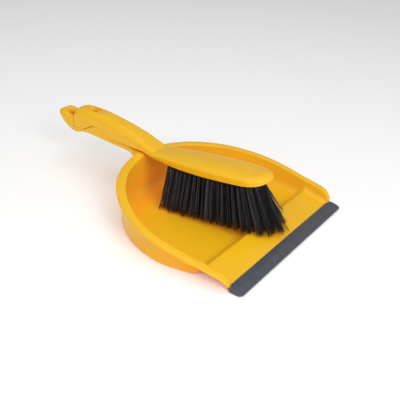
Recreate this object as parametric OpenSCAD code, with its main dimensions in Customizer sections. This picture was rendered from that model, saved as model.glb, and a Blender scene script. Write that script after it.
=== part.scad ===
// Dustpan with a rubber lip, and a hand brush that nests on the dustpan's handle.
// +X points to the lip, +Z up. The origin is at floor level, halfway between the two ends.

/* [Dustpan] */
// Length over all, from the tip of the handle to the lip
overall_len = 344; // [336:1:352]
// Length of the tray, from the back of the rim to the lip
tray_len = 207.6; // [202:0.2:212]
// Width over the rim
tray_w = 227.2; // [220:0.2:232]
// Height of the rim at the back
rim_back_z = 45; // [43:0.5:45]
// Height of the rim where it starts to round down to the lip
rim_front_z = 17; // [15:0.5:20]
// Overhang of the rim outside the wall
rim_overhang = 6.2; // [5:0.1:7]
// Thickness of the wall
wall_t = 2.8; // [2.2:0.1:3.2]
// Thickness of the floor
floor_t = 2; // [1.8:0.1:2.4]
// Height of the crease where the floor turns down to the lip
crest_z = 9.5; // [7:0.5:11]

/* [Lip] */
// Length of the lip strip across the pan
lip_w = 205; // [200:1:208]
// Width of the strip from its inner edge to its front edge
lip_reach = 14.4; // [12:0.2:16]

/* [Brush] */
// Length of the brush
brush_len = 271; // [268:0.2:274]
// Width of the head at its middle
head_w = 40.4; // [38:0.2:44]
// Rows of tufts across the head
tuft_rows = 5; // [5:1:5]
// Distance between neighbouring tufts in a row
tuft_pitch = 5.8; // [5.7:0.1:7]
// Radius of a tuft hole
hole_r = 2; // [1.7:0.1:2]
// Sideways tilt of the outer rows, in degrees
splay = 20; // [14:1:22]
// Forward tilt of the last tuft at the toe, in degrees
fan = 24; // [10:1:26]

/* [Hidden] */

// ---- Dustpan: places along X
x_front = overall_len / 2;
x_tip = -overall_len / 2;
x_back = x_front - tray_len;
x_lip = x_front - lip_reach;
x_round = x_lip - 17;
x_crest = x_lip - 31;
x_toe_of_back_slope = x_crest - 8;

// ---- Dustpan: the tray's plan is half an ellipse behind two tapering sides
wall_half_w = tray_w / 2 - rim_overhang;
front_half_w = lip_w / 2 - 1;
arc_len_x = 121 * tray_len / 207.6;
x_arc = x_back + arc_len_x;
arc_steps = 40;
fillet_r = 10;
rim_drop = 4.6;
lip_edge_z = 2.6;

// ---- Handle of the dustpan
handle_half_w = 12;
rib_half_w = 8.3;
handle_z = 43.4;
shoulder_z = 50.35;
rib_top_z = 55.8;
handle_skin = 2.4;
boss_gap = 0.8;
x_handle_end = x_tip + 34.6;
hang_r = 3.6;
x_hang = x_tip + 22;

// ---- Brush: places along X
x_end = x_handle_end + 0.8;
x_toe = x_end + brush_len;
skirt_z = 50.5;
brush_end_wall = 3.4;
x_arch = x_end + 38.4;
arch_half_len = 19;
arch_rise = 9.3;
x_head = x_end + 130.4;
x_level_end = x_head - 20;
x_first_tuft = x_head + 22;
x_last_tuft = x_toe - 8;
x_brush_hole = x_end + 24.4;
brush_hole_r = 4;
hole_depth = 5.5;
tuft_r = hole_r - 0.1;
tuft_tip_r = tuft_pitch / 2 - 0.2;
tip_gap = 2.8;
outer_row_y = 13;
staple_len = 2 * hole_r + 0.6;
staple_t = 0.4;
staple_h = 1.5;

pan_colour = "#EBAE26";
lip_colour = "#4E5058";
tuft_colour = "#1C1B1F";
staple_colour = "silver";

// =====================================================================================
// Shared functions
// =====================================================================================

function mix(a, b, t) = a + (b - a) * t;
function clamp01(t) = max(0, min(1, t));
function quarter(t) = sqrt(max(0, 1 - t * t));

// Smooth curve through [place, value] keys: a cubic between each two keys
function key_span(keys, x, i = 0) =
    i >= len(keys) - 2 || x < keys[i + 1][0] ? i : key_span(keys, x, i + 1);
function key_slope(keys, i) =
    let (a = max(0, i - 1), b = min(len(keys) - 1, i + 1))
    (keys[b][1] - keys[a][1]) / (keys[b][0] - keys[a][0]);
function smooth(keys, x) =
    let (
        i = key_span(keys, x),
        w = keys[i + 1][0] - keys[i][0],
        t = (x - keys[i][0]) / w,
        s0 = key_slope(keys, i) * w,
        s1 = key_slope(keys, i + 1) * w,
        rise = keys[i + 1][1] - keys[i][1]
    )
    keys[i][1] + s0 * t + (3 * rise - 2 * s0 - s1) * t * t + (s0 + s1 - 2 * rise) * t * t * t;

// Closed solid through rings of equal length
module loft(rings) {
    n = len(rings[0]);
    m = len(rings);
    polyhedron(
        points = [for (ring = rings) each ring],
        faces = concat(
            [[for (i = [0:n - 1]) i]],
            [
                for (j = [0:m - 2], i = [0:n - 1])
                    let (k = (i + 1) % n)
                    each [
                        [j * n + i, (j + 1) * n + i, (j + 1) * n + k],
                        [j * n + i, (j + 1) * n + k, j * n + k]
                    ]
            ],
            [[for (i = [n - 1:-1:0]) (m - 1) * n + i]]
        )
    );
}

// A profile drawn in X and Z, extruded across the pan
module across(width) {
    translate([0, width / 2, 0])
        rotate([90, 0, 0])
            linear_extrude(width)
                children();
}

// =====================================================================================
// Dustpan
// =====================================================================================

// Top of the floor: level at the back, up to the crest, then down to the lip
function floor_z(x) = lookup(x, [
    [x_toe_of_back_slope, floor_t],
    [x_crest, crest_z],
    [x_lip, lip_edge_z]
]);

// Top of the rim: a straight fall from the back, then a quarter turn down to the lip
function rim_z(x) =
    let (line = mix(rim_back_z, rim_front_z, (x - x_back) / (x_round - x_back)))
    x <= x_round ? line
    : mix(lip_edge_z + 1, rim_front_z, quarter((x - x_round) / (x_lip - x_round)));

// How far the rim stands out from the wall
function overhang(x) =
    x <= x_round ? rim_overhang : mix(0.8, rim_overhang, quarter((x - x_round) / (x_lip - x_round)));

// Stations along the outside of the wall, from the front right corner round the back to the front
// left: [x, y, outward x, outward y]
front_x = [
    for (t = [1, 0.96, 0.88, 0.75, 0.55, 0.3, 0]) mix(x_round, x_lip, t),
    x_crest, x_toe_of_back_slope, mix(x_arc, x_toe_of_back_slope, 0.5)
];
function side_y(x) = mix(wall_half_w, front_half_w, (x - x_arc) / (x_lip - x_arc));
function arc_station(a) =
    let (
        ex = arc_len_x - rim_overhang,
        nx = cos(a) / ex,
        ny = sin(a) / wall_half_w,
        n = sqrt(nx * nx + ny * ny)
    )
    [x_arc + ex * cos(a), wall_half_w * sin(a), nx / n, ny / n];
stations = concat(
    [for (x = front_x) [x, -side_y(x), 0, -1]],
    [for (i = [0:arc_steps]) arc_station(270 - 180 * i / arc_steps)],
    [for (i = [len(front_x) - 1:-1:0]) [front_x[i], side_y(front_x[i]), 0, 1]]
);

// Upper side of the section, from the rolled edge of the rim over the wall to the foot of its inner
// fillet, as [distance outside the wall, height]
function upper_section(x) =
    let (
        top = rim_z(x),
        base = floor_z(x),
        s = section_scale(x),
        e = overhang(x),
        r = fillet_r * s
    )
    [
        [e - 0.2, top - rim_drop * s],
        [e, top - 1.9 * s],
        [0.92 * e, top - 0.6 * s],
        [0.85 * e, top - 0.2 * s],
        [0.75 * e, top],
        [-wall_t * 0.45, top],
        [-wall_t * 0.75, top - 0.4 * s],
        [-wall_t, top - 1.5 * s],
        for (a = [0:18:90]) [-wall_t - 0.3 - r * (1 - cos(a)), base + r * (1 - sin(a))]
    ];

// Lower side of the section, from under the fillet over the outside of the wall to the rolled edge
function lower_section(x) =
    let (
        top = rim_z(x),
        under = floor_z(x) - floor_t,
        s = section_scale(x),
        e = overhang(x),
        edge_t = min(2.2, 0.6 * e)
    )
    [
        [-wall_t - 0.3 - fillet_r * s, under],
        [-1.2, under],
        [-0.3, under + 0.4],
        [0, under + 1.2],
        [0, top - 2.4 * s],
        [e - edge_t, top - 2.4 * s],
        [e - edge_t, top - rim_drop * s]
    ];

// The section's heights shrink where the wall runs out at the front
function section_scale(x) = min(1, (rim_z(x) - floor_z(x)) / 16);

function placed(st, section) = [
    for (p = section) [st[0] + st[2] * p[0], st[1] + st[3] * p[0], p[1]]
];

// One closed shell: wall, rim and floor. The floor of each station runs level to a spine on the
// centre line, and the stations on the left share the spine's points with those on the right.
module tray() {
    upper = [for (st = stations) placed(st, upper_section(st[0]))];
    lower = [for (st = stations) placed(st, lower_section(st[0]))];
    a = len(upper[0]);
    b = len(lower[0]);
    n = a + b;
    last = len(stations) - 1;
    half = last / 2;
    front = len(front_x);
    spine_x = [
        for (u = [0:half])
            u < front ? front_x[u] : mix(x_arc, x_arc - arc_len_x / 2, (u - front) / (half - front))
    ];
    spine_0 = n * (last + 1);
    points = concat(
        [for (u = [0:last]) each concat(upper[u], lower[u])],
        [for (x = spine_x) [x, 0, floor_z(x)]],
        [for (x = spine_x) [x, 0, floor_z(x) - floor_t]]
    );
    function upper_spine(u) = spine_0 + min(u, last - u);
    function lower_spine(u) = upper_spine(u) + half + 1;
    // A station's outline, with its spine points after the upper side
    function outline(u) = concat(
        [for (i = [0:a - 1]) u * n + i],
        [upper_spine(u), lower_spine(u)],
        [for (i = [a:n - 1]) u * n + i]
    );
    function reversed(v) = [for (i = [len(v) - 1:-1:0]) v[i]];
    polyhedron(
        points = points,
        faces = concat(
            [outline(0)],
            [
                for (u = [0:last - 1])
                    let (p = outline(u), q = outline(u + 1))
                    for (i = [0:n + 1])
                        if (i != a)
                            let (k = (i + 1) % (n + 2))
                            each u < half
                                ? [[p[i], q[i], q[k]], [p[i], q[k], p[k]]]
                                : [[p[i], q[i], p[k]], [q[i], q[k], p[k]]]
            ],
            [reversed(outline(last))]
        )
    );
}

// Tongue along the front edge that the lip strip is pushed on
module lip_tongue() {
    length = 6;
    width = 2 * (front_half_w - 1.6);
    translate([x_lip - 1, -width / 2, lip_edge_z - floor_t + 0.4])
        cube([length, width, floor_t - 0.6]);
}

// Web at the height of the rim that spreads from the handle to the rim with two hollow curves,
// on two gussets
module neck_web() {
    web_t = 2.6;
    spread_r = 18;
    x_start = x_back - 15;
    right = [
        for (a = [0:15:90])
            [x_start + spread_r * sin(a), handle_half_w - 1 + spread_r * (1 - cos(a))]
    ];
    outline = concat(right, [for (i = [len(right) - 1:-1:0]) [right[i][0], -right[i][1]]]);
    translate([0, 0, rim_back_z - web_t - 0.2])
        linear_extrude(web_t)
            polygon(outline);
    for (side = [-1, 1])
        translate([0, side * (handle_half_w - 2.2), 0])
            across(2.4)
                polygon([
                    [x_start - 4, handle_z + 1],
                    [x_start - 4, handle_z],
                    [x_back + rim_overhang + 1, rim_back_z - 16],
                    [x_back + rim_overhang + 1, rim_back_z - 2]
                ]);
}

// Straight part of the handle: a skirted channel with a raised rib that the brush sits over, and a boss
// that fits the arch in the brush's skirt. The rib starts behind the end wall of the brush. The skirted
// part runs on through the rim to the inside of the wall.
module handle_bar() {
    x_bar_front = x_back + rim_overhang + wall_t;
    x_rib_front = x_back - 3;
    x_rib = x_end + brush_end_wall + 0.6;
    end_wall = 4;
    difference() {
        union() {
            bar_skirt(x_handle_end - 2, x_bar_front, 0);
            bar_rib(x_rib, x_rib_front, 0);
            bar_boss(0);
        }
        bar_skirt(x_handle_end + 3, x_bar_front - end_wall - wall_t, handle_skin);
        bar_rib(x_rib + handle_skin, x_rib_front - end_wall, handle_skin);
        bar_boss(handle_skin);
    }
}

// The boss follows the arch of the brush, with a gap all round
module bar_boss(inset) {
    half_len = arch_half_len - 1.5 * boss_gap - inset;
    rise = arch_rise - boss_gap;
    foot = shoulder_z - inset;
    across(2 * (handle_half_w - 0.1 - inset))
        polygon(concat(
            [[x_arch + half_len, foot - 2], [x_arch - half_len, foot - 2]],
            [for (t = [-1:0.125:1]) [x_arch + half_len * t, foot + rise * (1 - t * t)]]
        ));
}

// Extrudes an outline drawn in Y and Z from x0 to x1
module along(x0, x1) {
    translate([x0, 0, 0])
        rotate([90, 0, 90])
            linear_extrude(x1 - x0)
                children();
}

module bar_skirt(x0, x1, inset) {
    w = handle_half_w - inset;
    low = handle_z - (inset > 0 ? 1 : 0);
    high = shoulder_z - inset;
    along(x0, x1)
        polygon([
            [-w + 1, low], [-w, low + 1.5], [-w, high - 0.8], [-w + 0.8, high],
            [w - 0.8, high], [w, high - 0.8], [w, low + 1.5], [w - 1, low]
        ]);
}

module bar_rib(x0, x1, inset) {
    w = rib_half_w - inset;
    low = shoulder_z - inset - 1;
    high = rib_top_z - inset;
    along(x0, x1)
        polygon([
            [-w, low], [-w, low + 1], [-w + 1, high - 1.6], [-w + 2.8, high],
            [w - 2.8, high], [w - 1, high - 1.6], [w, low + 1], [w, low]
        ]);
}

// Upturned end of the handle, with the hanging hole
function nose_ring(x) =
    let (
        reach = x_tip - x_handle_end,
        t = (x - x_handle_end) / reach,
        low = smooth([[0, handle_z], [0.25, 45.2], [0.5, 47.8], [0.7, 52.4], [1, 58.6]], t),
        high = smooth([[0, 61], [0.14, 64.6], [0.35, 65.6], [0.75, 65.6], [1, 64]], t),
        round = quarter(max(0, (t - 0.37) / 0.64)),
        w = handle_half_w * mix(0.12, 1, round),
        mid = (low + high) / 2,
        h = (high - low) / 2 * mix(0.45, 1, round)
    )
    [
        for (a = [0:22.5:359])
            let (c = cos(a), s = sin(a))
            [x, w * sign(c) * pow(abs(c), 0.7), mid + h * sign(s) * pow(abs(s), 0.7)]
    ];

module handle_nose() {
    difference() {
        loft([for (t = [1, 0.985, 0.95, 0.88, 0.76, 0.6, 0.45, 0.3, 0.14, 0])
            nose_ring(mix(x_handle_end, x_tip, t))]);
        translate([x_hang, 0, 0])
            cylinder(h = 90, r = hang_r, $fn = 48);
    }
}

module dustpan() {
    color(pan_colour) {
        tray();
        lip_tongue();
        neck_web();
        handle_bar();
        handle_nose();
    }
}

// Rubber strip: a grip with a groove for the pan's edge, and a blade that reaches the floor. The flap
// inside the pan lies on the floor between the walls.
module lip_strip() {
    gap = 0.1;
    top = lip_edge_z + 1.1;
    tongue_low = lip_edge_z - floor_t + 0.4;
    tongue_high = lip_edge_z - 0.2;
    x_grip = x_lip + 0.2;
    x_groove = x_lip + 5.2;
    x_flap = x_lip - 1.6;
    color(lip_colour) {
        across(lip_w)
            polygon([
                [x_grip, top], [x_lip + 5, top], [x_lip + 6.4, top - 0.7],
                [x_front - 0.6, 0.75], [x_front, 0.3], [x_front - 0.4, 0],
                [x_lip + 1.5, 0], [x_grip, 0.4],
                [x_grip, tongue_low - gap], [x_groove, tongue_low - gap],
                [x_groove, tongue_high + gap], [x_grip, tongue_high + gap]
            ]);
        across(2 * (front_half_w - wall_t - 4))
            polygon([
                [x_flap, top - 0.25], [x_flap + 0.8, top], [x_grip + 1, top],
                [x_grip + 1, lip_edge_z + gap], [x_lip, lip_edge_z + gap],
                [x_flap, floor_z(x_flap) + gap]
            ]);
    }
}

// =====================================================================================
// Brush
// =====================================================================================

// Underside of the stock: level along the handle as far as x_level_end, with an arch over the boss of
// the dustpan's handle, then a shallow curve up to the toe
function head_bottom(x) =
    let (d = max(0, x - x_head - 22))
    48.4 + 0.03 * d + 0.0006 * d * d;
function stock_bottom(x) =
    let (
        to_head = clamp01((x - x_level_end) / 16),
        arch = max(0, 1 - pow((x - x_arch) / arch_half_len, 2))
    )
    mix(skirt_z + arch_rise * arch, head_bottom(x), to_head);

function stock_top(x) = smooth([
    [x_end, 68], [x_end + 10, 73.8], [x_end + 26, 76.6], [x_end + 58, 74], [x_end + 90, 67.4],
    [x_head - 15, 58.8], [x_head - 3, 54.8], [x_head + 20, 57], [x_head + 58, 62.8],
    [x_head + 96, 66.2], [x_toe, 68.4]
], x);

function stock_half_w(x) = smooth([
    [x_end, 12], [x_end + 26, 12.6], [x_head - 26, 13], [x_head - 2, 14.8], [x_head + 20, 17.8],
    [x_head + 56, head_w / 2], [x_head + 96, head_w / 2], [x_toe, 0.49 * head_w]
], x);

// Height of the side before the crown starts, as a share of the section's height
function shoulder_share(x) = mix(0.42, 0.55, clamp01((x - x_head + 20) / 40));

function stock_ring(x) =
    let (
        end_round = quarter(max(0, 1 - (x - x_end) / 5)),
        toe_round = quarter(max(0, 1 - (x_toe - x) / 22)),
        toe_flat = quarter(max(0, 1 - (x_toe - x) / 9)),
        w = max(0.6, stock_half_w(x) * end_round * toe_round),
        low = stock_bottom(x),
        high = stock_top(x),
        mid = mix(low, high, 0.5),
        f = max(0.15, end_round * toe_flat),
        zb = mix(mid, low, f),
        zt = mix(mid, high, f),
        zs = mix(zb, zt, shoulder_share(x)),
        edge = min(1.2, 0.3 * w, 0.3 * (zs - zb)),
        half = concat(
            [[w - edge, zb], [w - 0.3 * edge, zb + 0.35 * edge], [w, zb + edge]],
            [for (a = [0:15:75]) [w * pow(cos(a), 0.8), zs + (zt - zs) * pow(sin(a), 0.8)]]
        )
    )
    concat(
        [for (p = half) [x, p[0], p[1]]],
        [[x, 0, zt]],
        [for (i = [len(half) - 1:-1:0]) [x, -half[i][0], half[i][1]]]
    );

x_arch_front = x_arch + arch_half_len + 1;
stock_x = concat(
    [for (t = [0.02, 0.15, 0.4, 0.7, 1]) x_end + 5 * t],
    [for (i = [1:16]) mix(x_end + 5, x_arch_front, i / 16)],
    [for (i = [1:6]) mix(x_arch_front, x_level_end, i / 6)],
    [for (i = [1:12]) mix(x_level_end, x_toe - 22, i / 13)],
    [for (t = [1, 0.8, 0.6, 0.42, 0.27, 0.15, 0.06, 0.01]) x_toe - 22 * t]
);

// Channel in the underside of the handle, over the rib of the dustpan's handle
module stock_channel() {
    x0 = x_end + brush_end_wall;
    x1 = x_head - 30;
    gap = 0.6;
    roof = 3.2;
    lower_top = rib_top_z + 1.8;
    across(2 * (rib_half_w + gap))
        polygon([[x0, 40], [x1, 40], [x1, lower_top - 1], [x1 - 4, lower_top], [x0, lower_top]]);
    across(11.6)
        polygon(concat(
            [[x0 + 3, lower_top - 1], [x1 - 20, lower_top - 1]],
            [for (x = [x1 - 20, x1 - 45, x_brush_hole + 14]) [x, stock_top(x) - roof - 0.6]],
            [[x_brush_hole - 10, stock_top(x_brush_hole) - 5.2], [x0 + 3, stock_top(x0 + 3) - roof - 3]]
        ));
}

// Oval recess in the top of the handle, with the round hanging hole in its floor
module stock_hanging_hole() {
    recess_z = stock_top(x_brush_hole) - 2;
    for (dx = [0, 11])
        translate([x_brush_hole + dx, 0, recess_z])
            cylinder(h = 10, r = 4.8, $fn = 40);
    translate([x_brush_hole, -4.8, recess_z])
        cube([11, 9.6, 10]);
    translate([x_brush_hole, 0, 60])
        cylinder(h = 30, r = brush_hole_r, $fn = 48);
}

// ---- Tufts: the rows follow the rounding of the toe
function row_y(row) = outer_row_y * (2 * (row - 1) / (tuft_rows - 1) - 1);
function row_len(row) = x_last_tuft - x_first_tuft - 0.065 * row_y(row) * row_y(row);
function row_count(row) = 1 + floor(row_len(row) / tuft_pitch);
function tuft_x(i) = x_first_tuft + i * tuft_pitch;
function tuft_fan(x) = fan * pow(clamp01((x - x_first_tuft) / (x_last_tuft - x_first_tuft)), 1.7);
function tuft_splay(row) = splay * row_y(row) / outer_row_y;
// Height of a tuft's tip: near the floor along the head, higher at the toe and over the crest
function tip_z(x) = max(
    floor_z(x + (head_bottom(x) - 4) * tan(tuft_fan(x))) + tip_gap,
    mix(4, 10, clamp01((x - x_first_tuft) / (x_crest - 14 - x_first_tuft)))
);
function tuft_drop(x) = head_bottom(x) - tip_z(x);

// Places its children at a tuft's mouth, with -Z along the tuft
module at_tuft(row, i) {
    x = tuft_x(i);
    translate([x, row_y(row), head_bottom(x)])
        rotate([tuft_splay(row), -tuft_fan(x), 0])
            children();
}

module at_row(row) {
    for (i = [0:row_count(row) - 1])
        at_tuft(row, i)
            children();
}

module brush_stock() {
    color(pan_colour)
        difference() {
            loft([for (x = stock_x) stock_ring(x)]);
            stock_channel();
            stock_hanging_hole();
            for (row = [1:tuft_rows])
                at_row(row)
                    translate([0, 0, -3])
                        cylinder(h = hole_depth + 3, r = hole_r, $fn = 24);
        }
}

// One tuft: a round root in its hole, spreading to the tip, and slotted for its staple
module tuft(length) {
    slot_t = staple_t + 0.1;
    slot_h = staple_h + 0.1;
    difference() {
        union() {
            cylinder(h = hole_depth - 0.1, r = tuft_r, $fn = 24);
            rotate([180, 0, 0])
                cylinder(h = length, r1 = tuft_r, r2 = tuft_tip_r, $fn = 24);
        }
        translate([-slot_t / 2, -hole_r, hole_depth - 0.1 - slot_h])
            cube([slot_t, 2 * hole_r, slot_h + 1]);
    }
}

module tuft_row(row) {
    color(tuft_colour)
        for (i = [0:row_count(row) - 1])
            at_tuft(row, i)
                tuft(tuft_drop(tuft_x(i)) / cos(tuft_splay(row)) / cos(tuft_fan(tuft_x(i))));
}

// Flat wire anchors across the tuft holes, with both ends bitten into the stock
module staple_row(row) {
    color(staple_colour)
        at_row(row)
            translate([-staple_t / 2, -staple_len / 2, hole_depth - 0.1 - staple_h])
                cube([staple_t, staple_len, staple_h]);
}

dustpan();
lip_strip();
brush_stock();
tuft_row(1);  // tuft_row_1
tuft_row(2);  // tuft_row_2
tuft_row(3);  // tuft_row_3
tuft_row(4);  // tuft_row_4
tuft_row(5);  // tuft_row_5
staple_row(1);  // staple_row_1
staple_row(2);  // staple_row_2
staple_row(3);  // staple_row_3
staple_row(4);  // staple_row_4
staple_row(5);  // staple_row_5
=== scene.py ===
"""Looks of the dustpan and brush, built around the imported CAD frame.

Shapes are worked out in millimetres in the frame's own axes (+X to the lip, +Z up) and written to
the meshes in metres.
"""

import math
import random

import bmesh
import bpy
import numpy as np
from mathutils import Matrix, Vector


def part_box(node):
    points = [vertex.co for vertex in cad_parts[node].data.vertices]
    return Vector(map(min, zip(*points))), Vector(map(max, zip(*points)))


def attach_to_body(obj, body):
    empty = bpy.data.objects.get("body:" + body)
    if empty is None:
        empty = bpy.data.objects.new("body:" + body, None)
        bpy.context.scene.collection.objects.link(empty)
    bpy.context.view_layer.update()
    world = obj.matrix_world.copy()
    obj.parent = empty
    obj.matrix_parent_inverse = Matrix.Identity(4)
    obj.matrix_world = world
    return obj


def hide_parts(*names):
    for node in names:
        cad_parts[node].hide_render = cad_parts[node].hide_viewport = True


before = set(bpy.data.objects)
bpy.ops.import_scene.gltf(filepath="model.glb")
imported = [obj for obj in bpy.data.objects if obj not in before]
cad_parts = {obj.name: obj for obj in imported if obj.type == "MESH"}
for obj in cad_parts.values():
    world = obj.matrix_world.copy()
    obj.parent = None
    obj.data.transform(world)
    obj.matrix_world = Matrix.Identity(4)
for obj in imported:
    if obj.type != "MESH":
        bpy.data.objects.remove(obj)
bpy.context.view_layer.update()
MM = 0.001


# =====================================================================================
# Driving dimensions, in millimetres
# =====================================================================================


def node_box(node):
    """Lowest and highest corner of a CAD node, in millimetres."""
    low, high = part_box(node)
    return np.array(low) / MM, np.array(high) / MM


PAN_LOW, PAN_HIGH = node_box("dustpan")
LIP_LOW, LIP_HIGH = node_box("lip_strip")
STOCK_LOW, STOCK_HIGH = node_box("brush_stock")

# Tray
X_TIP = PAN_LOW[0]  # tip of the handle
X_FRONT = LIP_HIGH[0]  # front of the lip
X_LIP = LIP_LOW[0] + 1.6  # front edge of the floor, in the lip's groove
RIM_HALF_W = PAN_HIGH[1]
LIP_HALF_W = LIP_HIGH[1]
RIM_OVERHANG = 6.2  # how far the rolled rim stands out from the wall
WALL_HALF_W = RIM_HALF_W - RIM_OVERHANG
FRONT_HALF_W = LIP_HALF_W - 1.0
X_BACK = X_FRONT - 207.6  # back of the rim
ARC_LEN_X = 121.0  # length of the half ellipse at the back
X_ARC = X_BACK + ARC_LEN_X
X_ROUND = X_LIP - 17.0  # start of the front corners
X_CREST = X_LIP - 31.0  # crest of the floor
X_SLOPE = X_CREST - 8.0  # foot of the slope behind the crest
RIM_BACK_Z = 45.4
RIM_FRONT_Z = 17.0
RIM_END_Z = 3.6
LIP_EDGE_Z = 2.6  # top of the floor at its front edge
CREST_Z = 9.5
FLOOR_T = 2.0
WALL_T = 2.6
EDGE_T = 2.2  # thickness of the rolled edge
RIM_DROP = 4.6  # how far the rolled edge hangs below the top
FILLET_R = 10.0  # inside, between the wall and the floor

# Handle of the pan
PAN_HANDLE_HALF_W = 11.9
SHOULDER_Z = 50.3  # top of its sides
RIB_TOP_Z = 55.6
NECK_Z = 49.8  # top of the neck between the rim and the handle
HANDLE_WALL = 2.2
NOSE_Z = 65.0  # top of the upturned end, where it meets the brush
NOSE_DISH = 3.0  # depth of the hollow in the upturned end
HANG_R = 3.6
X_HANG = X_TIP + 22.0

# Brush
X_END = STOCK_LOW[0]  # end of the handle
X_TOE = STOCK_HIGH[0]  # front of the head
X_NOSE = X_END - 0.3  # face of the pan's upturned end, behind the brush
X_HEAD = X_END + 130.4  # where the handle runs into the head
END_ROUND = 4.0
TOE_ROUND = 10.0
TOE_LEN = 24.0  # length over which the head narrows to the toe
SKIRT_Z = 50.5  # lower edge of the handle
HEAD_HALF_W = 20.2
CHANNEL_HALF_W = 8.9  # channel under the handle, over the pan's rib
X_BRUSH_HOLE = X_END + 24.4
BRUSH_HOLE_R = 4.0
RECESS_DEPTH = 4.2
X_ARCH = X_END + 38.4  # middle of the arch in the skirt
ARCH_HALF_LEN = 22.0
ARCH_RISE = 9.3


# =====================================================================================
# Curves and meshes
# =====================================================================================


def mix(a, b, t):
    return a + (b - a) * t


def clamp01(t):
    return min(1.0, max(0.0, t))


def smoothstep(a, b, x):
    t = clamp01((x - a) / (b - a))
    return t * t * (3 - 2 * t)


def quarter(t):
    """Height of a unit quarter circle at t."""
    return math.sqrt(max(0.0, 1.0 - t * t))


def round_rise(inside, radius):
    """0 at an edge, then up a quarter circle to 1 at the radius inside it."""
    return quarter(1 - clamp01(inside / radius))


def soft_max(a, b, k):
    """The larger of a and b, rounded over a width of about k where they cross."""
    return 0.5 * (a + b + math.sqrt((a - b) ** 2 + k * k))


def smooth_curve(keys, x):
    """Cubic curve through (place, value) keys."""
    last = len(keys) - 1
    i = 0
    while i < last - 1 and x >= keys[i + 1][0]:
        i += 1

    def slope(k):
        a, b = max(0, k - 1), min(last, k + 1)
        return (keys[b][1] - keys[a][1]) / (keys[b][0] - keys[a][0])

    w = keys[i + 1][0] - keys[i][0]
    t = (x - keys[i][0]) / w
    s0, s1 = slope(i) * w, slope(i + 1) * w
    rise = keys[i + 1][1] - keys[i][1]
    return keys[i][1] + s0 * t + (3 * rise - 2 * s0 - s1) * t**2 + (s0 + s1 - 2 * rise) * t**3


def add_object(name, data):
    """Puts a mesh, a light or a camera in the scene as a new object."""
    obj = bpy.data.objects.new(name, data)
    bpy.context.scene.collection.objects.link(obj)
    return obj


class MeshBuilder:
    """Collects vertices in millimetres and faces."""

    def __init__(self):
        self.verts = []
        self.faces = []

    def add(self, x, y, z):
        self.verts.append((x, y, z))
        return len(self.verts) - 1

    def strip(self, a, b, closed=False):
        """Quads between two rows of the same length."""
        n = len(a)
        for i in range(n if closed else n - 1):
            k = (i + 1) % n
            face = []
            for v in (a[i], b[i], b[k], a[k]):
                if v not in face:
                    face.append(v)
            if len(face) > 2:
                self.faces.append(tuple(face))

    def loft(self, rings, open_start=False):
        """Skin over closed rings of the same length, with a face over each end that isn't open."""
        for a, b in zip(rings, rings[1:]):
            self.strip(a, b, closed=True)
        if not open_start:
            self.faces.append(tuple(rings[0]))
        self.faces.append(tuple(rings[-1]))

    def build(self, name):
        """Closed object of the faces, all turned outwards."""
        mesh = bpy.data.meshes.new(name)
        verts = [(x * MM, y * MM, z * MM) for x, y, z in self.verts]
        mesh.from_pydata(verts, [], self.faces)
        mesh.validate()
        mesh.update()
        obj = add_object(name, mesh)
        clean(obj)
        return obj


def clean(obj):
    """Joins points within a thousandth of a millimetre, drops loose ones and turns faces outwards."""
    doubled = MM / 1000
    bm = bmesh.new()
    bm.from_mesh(obj.data)
    bmesh.ops.remove_doubles(bm, verts=bm.verts, dist=doubled)
    bmesh.ops.dissolve_degenerate(bm, edges=bm.edges, dist=doubled / 4)
    loose = [v for v in bm.verts if not v.link_faces]
    bmesh.ops.delete(bm, geom=loose, context="VERTS")
    bmesh.ops.recalc_face_normals(bm, faces=bm.faces)
    bm.to_mesh(obj.data)
    bm.free()


def shade_smooth(obj, angle=40.0):
    """Smooth shading, with hard edges only where faces meet at more than the angle."""
    mesh = obj.data
    mesh.shade_smooth()
    mesh.set_sharp_from_angle(angle=math.radians(angle))


def bake(obj):
    """Writes the object's modifiers into its mesh."""
    bpy.context.view_layer.update()
    evaluated = obj.evaluated_get(bpy.context.evaluated_depsgraph_get())
    mesh = bpy.data.meshes.new_from_object(evaluated)
    obj.modifiers.clear()
    obj.data = mesh


def cut(obj, cutter):
    """Takes the cutter out of the object and deletes the cutter."""
    modifier = obj.modifiers.new("cut", "BOOLEAN")
    modifier.operation = "DIFFERENCE"
    modifier.solver = "EXACT"
    modifier.object = cutter
    bake(obj)
    bpy.data.objects.remove(cutter)


def hole_cutter(profile, x, sides=64):
    """Solid of revolution about the vertical axis at x on the middle line, from (radius, height)."""
    made = MeshBuilder()
    rings = []
    for r, z in profile:
        ring = []
        for k in range(sides):
            a = 2 * math.pi * k / sides
            ring.append(made.add(x + r * math.cos(a), r * math.sin(a), z))
        rings.append(ring)
    made.loft(rings)
    return made.build("cutter")


def oval_cutter(profile, x0, x1, sides=56):
    """As hole_cutter, but its outline is stretched between x0 and x1."""
    made = MeshBuilder()
    rings = []
    for r, z in profile:
        ring = []
        for k in range(sides):
            a = 2 * math.pi * (k + 0.5) / sides
            x = (x1 if math.cos(a) > 0 else x0) + r * math.cos(a)
            ring.append(made.add(x, r * math.sin(a), z))
        rings.append(ring)
    made.loft(rings)
    return made.build("cutter")


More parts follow.
